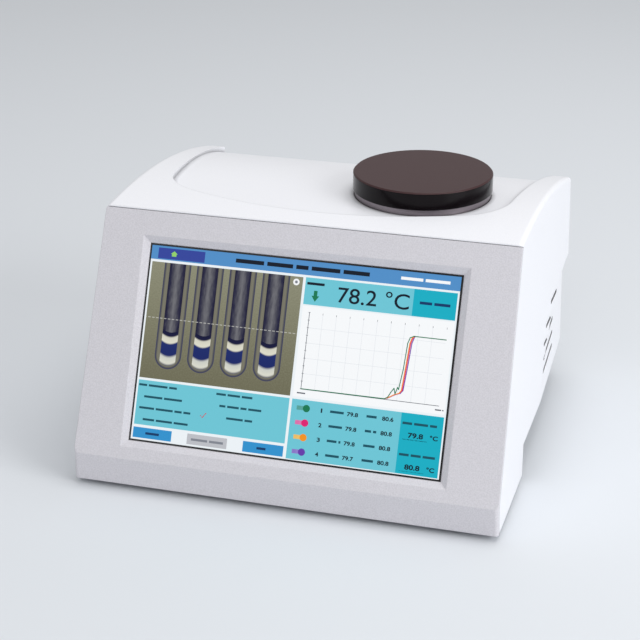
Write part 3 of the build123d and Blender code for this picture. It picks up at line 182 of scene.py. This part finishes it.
def plastic(name, rgb, rough, grain=0.0, grain_scale=1500.0, round_edge=0.0005, mottle=0.0):
    """Moulded plastic: even colour, a touch of mottle and a fine grain."""
    shader = Shader(name)
    tint = linear(rgb)
    if mottle:
        dark = tuple(c * (1 - mottle) for c in tint[:3]) + (1.0,)
        light = tuple(min(1.0, c * (1 + mottle)) for c in tint[:3]) + (1.0,)
        tint = shader.ramp(shader.noise(grain_scale), [(0.35, dark), (0.65, light)])
    shader.set(Base_Color=tint, Roughness=rough)
    height = shader.noise(grain_scale) if grain else None
    return shader.relief(height, grain, round_edge=round_edge).material


def metal(name, rgb, rough, stretch=None, round_edge=0.0003):
    """Metal whose roughness varies along its working direction."""
    shader = Shader(name)
    grain = shader.noise(900.0, 3.0, stretch or (1.0, 1.0, 1.0))
    spread = shader.math("MULTIPLY_ADD", grain, rough, rough / 2)
    shader.set(Base_Color=linear(rgb), Metallic=1.0, Roughness=spread)
    return shader.relief(grain, 0.05, round_edge=round_edge).material


def clear(name, rgb, rough=0.02):
    """Clear sheet: reflects at a glance and lets the rest through."""
    shader = Shader(name)
    see = shader.tree.nodes.new("ShaderNodeBsdfTransparent")
    see.inputs[0].default_value = linear(rgb)
    gloss = shader.tree.nodes.new("ShaderNodeBsdfGlossy")
    gloss.inputs["Roughness"].default_value = rough
    edge = shader.tree.nodes.new("ShaderNodeFresnel")
    both = shader.tree.nodes.new("ShaderNodeMixShader")
    shader.link(edge.outputs[0], both.inputs[0])
    shader.link(see.outputs[0], both.inputs[1])
    shader.link(gloss.outputs[0], both.inputs[2])
    shader.link(both.outputs[0], shader.out.inputs[0])
    shader.tree.nodes.remove(shader.bsdf)
    return shader.material


def board_green():
    """Circuit board: solder-mask green with faint traces."""
    shader = Shader("board_green")
    tint = shader.ramp(shader.noise(260.0, 4.0), [(0.45, linear((14, 66, 40))), (0.55, linear((30, 96, 60)))])
    return shader.set(Base_Color=tint, Roughness=0.35).material


def lid_painted_top_sheen():
    """Anodised lid, glossy and almost black round the side; the top is satin and painted lighter brown as a
    painted sheen.
    """
    shader = Shader("lid_brown")
    geometry = shader.tree.nodes.new("ShaderNodeNewGeometry")
    split = shader.tree.nodes.new("ShaderNodeSeparateXYZ")
    shader.link(geometry.outputs["True Normal"], split.inputs[0])
    facing_up = shader.math("GREATER_THAN", split.outputs[2], 0.5)
    # Painted sheen: faces that look up get a lighter brown than the side
    tint = shader.mix(facing_up, linear((10, 4, 7)), linear((60, 36, 38)))
    rough = shader.math("MULTIPLY_ADD", facing_up, 0.2, 0.18)
    shine = shader.math("MULTIPLY_ADD", facing_up, 0.14, 0.16)
    shader.set(Base_Color=tint, Roughness=rough, Specular_IOR_Level=shine)
    return shader.relief(shader.noise(1500.0), 0.04, round_edge=0.0008).material


# Zone of painted shade in the vent slots: beyond this distance from the middle, behind this y and below this
# z
VENT_SHADE_ZONE = (0.12, 0.012, 0.1)


def cover_white_painted_shade():
    """White moulded plastic with painted shade: darker in its gaps and almost black in the narrow vent slots.
    """
    shader = Shader("cover_white")
    _, (x, y, z) = shader.point()
    beside = shader.math("GREATER_THAN", shader.math("ABSOLUTE", x), VENT_SHADE_ZONE[0])
    behind = shader.math("GREATER_THAN", y, VENT_SHADE_ZONE[1])
    below = shader.math("LESS_THAN", z, VENT_SHADE_ZONE[2])
    vent_shade_mask = shader.math("MULTIPLY", shader.math("MULTIPLY", beside, behind), below)
    # Painted shade, made far deeper inside the vent slots
    depth = shader.math("MULTIPLY_ADD", vent_shade_mask, 6.0, 1.4)
    grain = shader.noise(1800.0)
    tint = shader.ramp(grain, [(0.35, linear((238, 239, 244))), (0.65, linear((244, 245, 250)))])
    shader.set(Base_Color=shader.painted_crevice_shade(tint, 0.004, depth), Roughness=0.36)
    return shader.relief(grain, 0.05, round_edge=0.0012).material


COVER = cover_white_painted_shade()
PANEL = plastic("panel_grey", (215, 213, 219), 0.5, 0.3, 1200.0, 0.0006, 0.06)
LOOKS = {
    "cover_white": COVER,
    "panel_grey": PANEL,
    "screen_glass": plastic("screen_black", (14, 15, 18), 0.12, round_edge=0.0002),
    "foam_black": plastic("foam_black", (26, 26, 27), 0.9, 0.3, 900.0),
    "screen_module": plastic("module_black", (30, 31, 34), 0.4),
    "sheet_steel": metal("sheet_steel", (176, 177, 180), 0.3, (1.0, 1.0, 12.0)),
    "brass_parts": metal("brass", (206, 170, 98), 0.25),
    "circuit_board": board_green(),
    "lid_brown": lid_painted_top_sheen(),
    "ceramic_white": plastic("ceramic_white", (226, 221, 210), 0.8, 0.15, 700.0),
    "ring_metal": metal("ring_metal", (140, 132, 137), 0.3, (1.0, 1.0, 20.0)),
    "block_aluminium": metal("block_aluminium", (196, 198, 200), 0.28),
    "clear_glass": clear("clear_glass", (236, 244, 243)),
    "plastic_black": plastic("plastic_black", (32, 32, 34), 0.45, 0.08, 1200.0),
    "rocker_black": plastic("rocker_black", (24, 24, 26), 0.2),
    "plate_grey": plastic("plate_grey", (198, 199, 203), 0.5, 0.12, 1400.0),
    "screw_steel": metal("screw_steel", (190, 190, 192), 0.22),
    "socket_metal": metal("socket_metal", (184, 185, 188), 0.28),
    "foot_rubber": plastic("foot_rubber", (28, 28, 29), 0.85, 0.15, 800.0),
}
for node, obj in NODES.items():
    obj.data.materials.clear()
    obj.data.materials.append(LOOKS[SLOT_OF[node]])

# Screen picture: each patch gives off the first share of its colour and reflects the second

GLOW = 0.78
BODY = 0.2
GLASS_ROUGH = 0.3
GLASS_SHINE = 0.12


def lit(name, rgb):
    """A lit patch of the screen: it glows, and the cover glass over it shines a little."""
    shader = Shader(name)
    tint = linear(rgb)
    dim = (*(c * BODY for c in tint[:3]), 1.0)
    shader.set(Base_Color=dim, Emission_Color=tint, Emission_Strength=GLOW)
    shader.set(Roughness=GLASS_ROUGH, Specular_IOR_Level=GLASS_SHINE)
    return shader.material


class Sheet:
    """Flat patches of one piece of the screen picture, in grid cells from the top left."""

    def __init__(self):
        self.points, self.faces, self.slots, self.materials = [], [], [], []

    def patch(self, outline, material, layer):
        start = len(self.points)
        self.points += [(x * CELL, -y * CELL, layer * LAYER) for x, y in outline]
        self.faces.append(list(range(start, len(self.points)))[::-1])
        if material not in self.materials:
            self.materials.append(material)
        self.slots.append(self.materials.index(material))

    def rect(self, x0, y0, x1, y1, material, layer=1):
        self.patch([(x0, y0), (x1, y0), (x1, y1), (x0, y1)], material, layer)

    def disc(self, x, y, radius, material, layer=2, sides=24):
        turns = [2 * math.pi * i / sides for i in range(sides)]
        ring = [(x + radius * math.cos(turn), y + radius * math.sin(turn)) for turn in turns]
        self.patch(ring, material, layer)

    def stroke(self, path, width, material, layer=2):
        """A line of even width through the points of a path."""
        for (xa, ya), (xb, yb) in zip(path, path[1:]):
            length = math.hypot(xb - xa, yb - ya)
            dx, dy = (xb - xa) / length * width / 2, (yb - ya) / length * width / 2
            self.patch([(xa - dx + dy, ya - dy - dx), (xb + dx + dy, yb + dy - dx),
                        (xb + dx - dy, yb + dy + dx), (xa - dx - dy, ya - dy + dx)], material, layer)

    def build(self, name):
        mesh = bpy.data.meshes.new(name)
        mesh.from_pydata(self.points, [], self.faces)
        for polygon, slot in zip(mesh.polygons, self.slots):
            polygon.material_index = slot
        return place(name, mesh, self.materials)


def place(name, mesh, materials):
    """A piece of the screen picture, in its place on the sloping face."""
    for material in materials:
        mesh.materials.append(material)
    obj = bpy.data.objects.new(name, mesh)
    bpy.context.scene.collection.objects.link(obj)
    obj.matrix_world = SCREEN
    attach(obj, "housing")
    return obj


PAGE = lit("screen_page", (240, 246, 250))
HEADER = lit("screen_header_blue", (84, 145, 202))
TAB = lit("screen_tab_blue", (55, 72, 158))
PALE_TEAL = lit("screen_pale_teal", (112, 200, 216))
DEEP_TEAL = lit("screen_deep_teal", (26, 176, 198))
BUTTON = lit("screen_button_blue", (52, 148, 208))
BUTTON_OFF = lit("screen_button_grey", (192, 194, 200))
INK = lit("screen_ink", (22, 30, 44))
INK_SOFT = lit("screen_ink_soft", (30, 84, 100))
INK_BLUE = lit("screen_ink_blue", (24, 60, 104))
INK_GREY = lit("screen_ink_grey", (132, 136, 146))
WHITE = lit("screen_white", (250, 252, 254))
GREEN = lit("screen_green", (28, 122, 84))
LIME = lit("screen_lime", (150, 214, 108))
MAGENTA = lit("screen_magenta", (226, 36, 116))
ORANGE = lit("screen_orange", (246, 150, 34))
PURPLE = lit("screen_purple", (104, 62, 172))
RED = lit("screen_red", (214, 54, 62))
GRID = lit("screen_grid", (222, 226, 232))
AXIS = lit("screen_axis", (96, 100, 110))
TRACKS = [lit("screen_track_%d" % i, rgb) for i, rgb in
          enumerate(((92, 166, 158), (226, 120, 178), (240, 196, 110), (146, 128, 206)))]


def words(sheet, x0, x1, y, height, material, seed, layer=3):
    """A run of short bars that stands for a line of small print."""
    x = x0
    step = seed
    while x < x1 - height / 2:
        step = (step * 73 + 41) % 97
        end = min(x + height * (1.6 + step / 24), x1)
        sheet.rect(x, y - height * 0.3, end, y + height * 0.3, material, layer)
        x = end + height * 0.5


# Rows of the four tubes in the lower right box
ROWS = (("79.8", "80.6"), ("79.8", "80.8"), ("79.8", "80.8"), ("79.7", "80.8"))
ROW_TOP = 484
ROW_STEP = 47.5

page = Sheet()
page.rect(6, 6, 1058, 656, PAGE)
page.rect(6, 6, 1058, 52, HEADER, 2)
page.rect(30, 12, 194, 48, TAB, 3)
page.patch([(74, 30), (86, 20), (98, 30), (94, 30), (94, 38), (78, 38), (78, 30)], LIME, 4)
page.rect(547, 59, 910, 147, PALE_TEAL, 2)
page.rect(910, 59, 1052, 147, DEEP_TEAL, 2)
page.rect(12, 457, 538, 606, PALE_TEAL, 2)
page.rect(547, 457, 914, 653, PALE_TEAL, 2)
page.rect(914, 457, 1053, 653, DEEP_TEAL, 2)
page.rect(12, 615, 148, 650, BUTTON, 2)
page.rect(203, 615, 342, 650, BUTTON_OFF, 2)
page.rect(397, 615, 536, 650, BUTTON, 2)
page.patch([(579, 100), (591, 100), (591, 117), (598, 117), (585, 136), (572, 117), (579, 117)], GREEN, 3)
page.build("screen_page")

print_marks = Sheet()
words(print_marks, 302, 758, 29, 22, INK, 11)
words(print_marks, 862, 1032, 29, 16, WHITE, 23)
words(print_marks, 553, 612, 78, 14, INK, 31)
words(print_marks, 932, 1032, 102, 15, INK_BLUE, 37)
for row, (left, right) in enumerate((((15, 155), (287, 412)), ((37, 180), (302, 447)),
                                     ((24, 205), (330, 420)), ((41, 201), None))):
    level = 473 + row * 38
    words(print_marks, left[0], left[1], level, 12, INK_SOFT, 5 + row)
    if right:
        words(print_marks, right[0], right[1], level, 12, INK_SOFT, 45 + row)
words(print_marks, 56, 104, 633, 13, INK_BLUE, 3)
words(print_marks, 217, 329, 633, 13, INK_GREY, 7)
words(print_marks, 445, 489, 633, 13, INK_BLUE, 9)
words(print_marks, 920, 1046, 490, 13, INK_SOFT, 13)
words(print_marks, 920, 1038, 591, 13, INK_SOFT, 17)
for row in range(len(ROWS)):
    level = ROW_TOP + row * ROW_STEP
    words(print_marks, 678, 724, level, 13, INK_SOFT, 19 + row)
    words(print_marks, 800, 838, level, 13, INK_SOFT, 29 + row)
print_marks.stroke([(926, 542), (1005, 542)], 2.4, INK)
print_marks.stroke([(926, 644), (1005, 644)], 2.4, INK)
print_marks.stroke([(241, 551), (247, 557), (259, 541)], 3.0, RED)
print_marks.build("screen_print")

TOGGLE_X = 572
toggles = Sheet()
for row, knob in enumerate((GREEN, MAGENTA, ORANGE, PURPLE)):
    level = ROW_TOP + row * ROW_STEP
    toggles.stroke([(TOGGLE_X, level), (TOGGLE_X + 20, level)], 14, TRACKS[row], 3)
    toggles.disc(TOGGLE_X, level, 7, TRACKS[row], 3)
    toggles.disc(TOGGLE_X + 26, level, 12, knob, 4)
toggles.build("screen_toggles")

# The chart's axes, and the steps of its grid and of its ticks up the side
CHART_LEFT, CHART_RIGHT = 572, 1030
CHART_TOP, CHART_FOOT = 172, 422
GRID_ACROSS, GRID_UP, TICK_UP = 45.8, 50, 25

chart = Sheet()
chart.rect(547, 152, 1052, 449, WHITE, 2)
for step in range(1, 10):
    x = CHART_LEFT + step * GRID_ACROSS
    chart.stroke([(x, CHART_TOP + 2), (x, CHART_FOOT)], 1.0, GRID, 3)
for step in range(1, 5):
    y = CHART_FOOT - step * GRID_UP
    chart.stroke([(CHART_LEFT, y), (CHART_RIGHT, y)], 1.0, GRID, 3)
for step in range(11):
    x = CHART_LEFT + step * GRID_ACROSS
    y = CHART_TOP + step * TICK_UP
    chart.stroke([(x, CHART_TOP), (x, CHART_TOP + 5)], 1.4, AXIS, 4)
    chart.stroke([(CHART_LEFT - 3, y), (CHART_LEFT + 3, y)], 1.4, AXIS, 4)
corner = (CHART_LEFT, CHART_FOOT + 1)
chart.stroke([(CHART_LEFT, CHART_TOP), corner], 2.0, AXIS, 4)
chart.stroke([corner, (CHART_RIGHT + 1, CHART_FOOT + 1)], 2.0, AXIS, 4)
words(chart, 560, 588, 436, 7, AXIS, 51)
words(chart, 1020, 1048, 436, 7, AXIS, 57)
for lag, colour, layer in ((0, GREEN, 8), (9, ORANGE, 7), (13, MAGENTA, 6), (18, PURPLE, 5)):
    rise = [(CHART_LEFT, CHART_FOOT), (852, 421), (862, 415 + lag / 6)]
    if lag == 0:
        rise += [(872, 396), (880, 384), (885, 402), (891, 380), (895, 386)]
    else:
        rise += [(880 + lag / 3, 404), (893 + lag / 2, 398), (899 + lag * 0.6, 388)]
    rise += [(903 + lag * 0.7, 320), (908 + lag * 0.75, 235), (914 + lag * 0.7, 217)]
    rise += [(926 + lag * 0.2, 211), (CHART_RIGHT + 1, 211)]
    chart.stroke(rise, 3.0, colour, layer)
chart.build("screen_chart")


# The camera picture's tubes, on the grid
FIRST_TUBE, TUBE_STEP, TUBES_END = 104.0, 114.4, 500.0
TUBE_RADIUS, CORE_RADIUS = 47.0, 28.0
TUBE_FOOT, CORE_FOOT = 366.0, 384.0
BAND_TOP, MARK_LINE = 290.0, 246.0


def tube_view():
    """Camera picture: four glass tubes with rounded ends against a grey-brown ground."""
    shader = Shader("screen_tubes")
    _, (px, py, _) = shader.point()
    m = shader.math
    x = m("DIVIDE", px, CELL)
    y = m("DIVIDE", py, -CELL)
    turn = m("MODULO", m("SUBTRACT", x, FIRST_TUBE - TUBE_STEP / 2), TUBE_STEP)
    beyond = m("MULTIPLY", m("GREATER_THAN", x, TUBES_END), 120.0)
    across = m("ADD", m("SUBTRACT", turn, TUBE_STEP / 2), beyond)
    below_outer = m("MAXIMUM", m("SUBTRACT", y, TUBE_FOOT), 0.0)
    below_inner = m("MAXIMUM", m("SUBTRACT", y, CORE_FOOT), 0.0)

    def reach(low, scale):
        low = m("MULTIPLY", low, scale)
        return m("SQRT", m("ADD", m("POWER", m("ABSOLUTE", across), 2.0), m("POWER", low, 2.0)))

    outer = reach(below_outer, 1.0)
    inner = reach(below_inner, 1.6)
    mottle = shader.noise(1100.0, 5.0)
    ground = shader.ramp(m("ADD", m("MULTIPLY", mottle, 0.5), m("DIVIDE", y, 900.0)),
                         [(0.25, linear((146, 146, 124))), (0.75, linear((112, 110, 88)))])
    shell = shader.ramp(m("DIVIDE", outer, 60.0), [
        (0.0, linear((96, 92, 84))), (0.62, linear((124, 122, 106))), (0.70, linear((84, 84, 88))),
        (0.755, linear((52, 56, 92))), (0.80, linear((128, 126, 108)))])
    wall = m("LESS_THAN", outer, TUBE_RADIUS)
    base = shader.mix(wall, ground, shell)
    streak = shader.noise(700.0, 3.0, (1.0, 0.25, 1.0))
    glint = m("MULTIPLY_ADD", m("SUBTRACT", streak, 0.5), 0.7, m("DIVIDE", inner, 30.0))
    stem = shader.ramp(glint, [
        (0.0, linear((112, 112, 118))), (0.42, linear((74, 74, 86))), (0.72, linear((40, 40, 66))),
        (0.95, linear((24, 24, 54)))])
    dip = m("SUBTRACT", y, m("MULTIPLY", m("POWER", across, 2.0), -0.012))
    band = shader.ramp(m("DIVIDE", m("SUBTRACT", dip, BAND_TOP), 140.0), [
        (0.0, linear((18, 20, 56))), (0.09, linear((20, 22, 62))), (0.13, linear((214, 212, 196))),
        (0.25, linear((226, 224, 206))), (0.29, linear((28, 44, 108))), (0.55, linear((26, 40, 104))),
        (0.61, linear((206, 208, 200))), (0.74, linear((222, 222, 208))), (0.80, linear((26, 28, 70)))])
    low = m("GREATER_THAN", dip, BAND_TOP)
    core = shader.mix(low, stem, band)
    inside = m("LESS_THAN", inner, CORE_RADIUS)
    picture = shader.mix(inside, base, core)
    on_line = m("LESS_THAN", m("ABSOLUTE", m("SUBTRACT", y, MARK_LINE)), 1.4)
    dash = m("MULTIPLY", on_line, m("GREATER_THAN", m("MODULO", x, 14.0), 5.0))
    picture = shader.mix(m("MULTIPLY", dash, 0.55), picture, linear((220, 220, 214)))
    body = shader.mix(1.0 - BODY, picture, (0.0, 0.0, 0.0, 1.0))
    shader.set(Base_Color=body, Emission_Color=picture, Emission_Strength=GLOW)
    shader.set(Roughness=GLASS_ROUGH, Specular_IOR_Level=GLASS_SHINE)
    return shader.material


tubes = Sheet()
tubes.rect(12, 60, 538, 449, tube_view(), 2)
tubes.disc(516, 78, 11, WHITE, 3, 12)
tubes.disc(516, 78, 5, INK_GREY, 4, 12)
tubes.build("screen_tube_view")


def number(text, x0, x1, y, height):
    """Points and faces of numerals that stand on y, fill x0 to x1 and have a given height."""
    curve = bpy.data.curves.new("numerals", "FONT")
    curve.body = text
    curve.resolution_u = 4
    curve.offset = 0.005 if height > 40 else 0.03
    holder = bpy.data.objects.new("numerals", curve)
    bpy.context.scene.collection.objects.link(holder)
    bpy.context.view_layer.update()
    mesh = bpy.data.meshes.new_from_object(holder.evaluated_get(bpy.context.evaluated_depsgraph_get()))
    bpy.data.objects.remove(holder)
    points = [v.co.copy() for v in mesh.vertices]
    left = min(p.x for p in points)
    wide = (x1 - x0) / (max(p.x for p in points) - left)
    tall = height / (max(p.y for p in points) - min(0.0, min(p.y for p in points)))
    placed = [((x0 + (p.x - left) * wide) * CELL, (p.y * tall - y) * CELL, 5 * LAYER) for p in points]
    return placed, [list(polygon.vertices) for polygon in mesh.polygons]


# Numerals: text, left and right end, foot line and height on the grid
NUMERALS = [("78.2 °C", 660, 898, 129, 53), ("79.8", 942, 992, 535, 17), ("°C", 1014, 1040, 535, 16),
            ("80.8", 942, 992, 637, 17), ("°C", 1014, 1040, 637, 16)]
for row, (first, last) in enumerate(ROWS):
    level = ROW_TOP + 7 + row * ROW_STEP
    slim = 3 if row == 0 else 0
    NUMERALS += [(str(row + 1), 644 + slim, 655 - slim, level, 14)]
    NUMERALS += [(first, 735, 772, level, 14), (last, 852, 890, level, 14)]
points, faces = [], []
for numeral in NUMERALS:
    placed, polygons = number(*numeral)
    faces += [[len(points) + i for i in polygon] for polygon in polygons]
    points += placed
joined = bpy.data.meshes.new("screen_numerals")
joined.from_pydata(points, [], faces)
place("screen_numerals", joined, [INK])

# Floor, light and camera
FLOOR = 12.0
FLOOR_CORNERS = [(-FLOOR, -FLOOR, 0), (FLOOR, -FLOOR, 0), (FLOOR, FLOOR, 0), (-FLOOR, FLOOR, 0)]
floor_mesh = bpy.data.meshes.new("floor")
floor_mesh.from_pydata(FLOOR_CORNERS, [], [(0, 1, 2, 3)])
floor = bpy.data.objects.new("floor", floor_mesh)
bpy.context.scene.collection.objects.link(floor)
floor_mesh.materials.append(plastic("floor_pale", (222, 226, 231), 0.7, round_edge=0.0001))


def lamp(name, at, target, size, power):
    """A square soft light aimed at a point."""
    data = bpy.data.lights.new(name, "AREA")
    data.shape = "SQUARE"
    data.size = size
    data.energy = power
    obj = bpy.data.objects.new(name, data)
    bpy.context.scene.collection.objects.link(obj)
    obj.location = at
    obj.rotation_euler = (Vector(target) - Vector(at)).to_track_quat("-Z", "Y").to_euler()


MIDDLE = (0.0, 0.0, 0.09)
lamp("top", (0.35, 0.3, 2.0), MIDDLE, 1.4, 15.5)
lamp("right", (1.9, -0.7, 1.0), MIDDLE, 1.2, 21.0)
lamp("left", (-1.2, -1.9, 0.9), MIDDLE, 1.4, 2.4)
lamp("front", (0.25, -1.6, 1.5), MIDDLE, 0.35, 2.2)

# Even light all round, and a paler ground behind the object
WORLD_LIGHT = 0.5
world = bpy.data.worlds.new("studio")
bpy.context.scene.world = world
world.use_nodes = True
nodes, links = world.node_tree.nodes, world.node_tree.links
nodes.clear()
sky = nodes.new("ShaderNodeBackground")
seen = nodes.new("ShaderNodeBackground")
sky.inputs[0].default_value = (1.0, 1.0, 1.0, 1.0)
sky.inputs[1].default_value = WORLD_LIGHT
seen.inputs[0].default_value = linear((228, 232, 237))
path = nodes.new("ShaderNodeLightPath")
pick = nodes.new("ShaderNodeMixShader")
end = nodes.new("ShaderNodeOutputWorld")
links.new(path.outputs["Is Camera Ray"], pick.inputs[0])
links.new(sky.outputs[0], pick.inputs[1])
links.new(seen.outputs[0], pick.inputs[2])
links.new(pick.outputs[0], end.inputs[0])

CAMERA_AT = (0.30645, -1.10210, 0.56838)
CAMERA_TILT = 66.923
CAMERA_TURN = 16.112
CAMERA_LENS = 98.958
camera_data = bpy.data.cameras.new("camera")
camera_data.sensor_width = 36.0
camera_data.lens = CAMERA_LENS
camera_data.clip_end = 100.0
camera = bpy.data.objects.new("camera", camera_data)
bpy.context.scene.collection.objects.link(camera)
camera.location = CAMERA_AT
camera.rotation_euler = (math.radians(CAMERA_TILT), 0.0, math.radians(CAMERA_TURN))
bpy.context.scene.camera = camera
bpy.context.scene.view_settings.view_transform = "Standard"
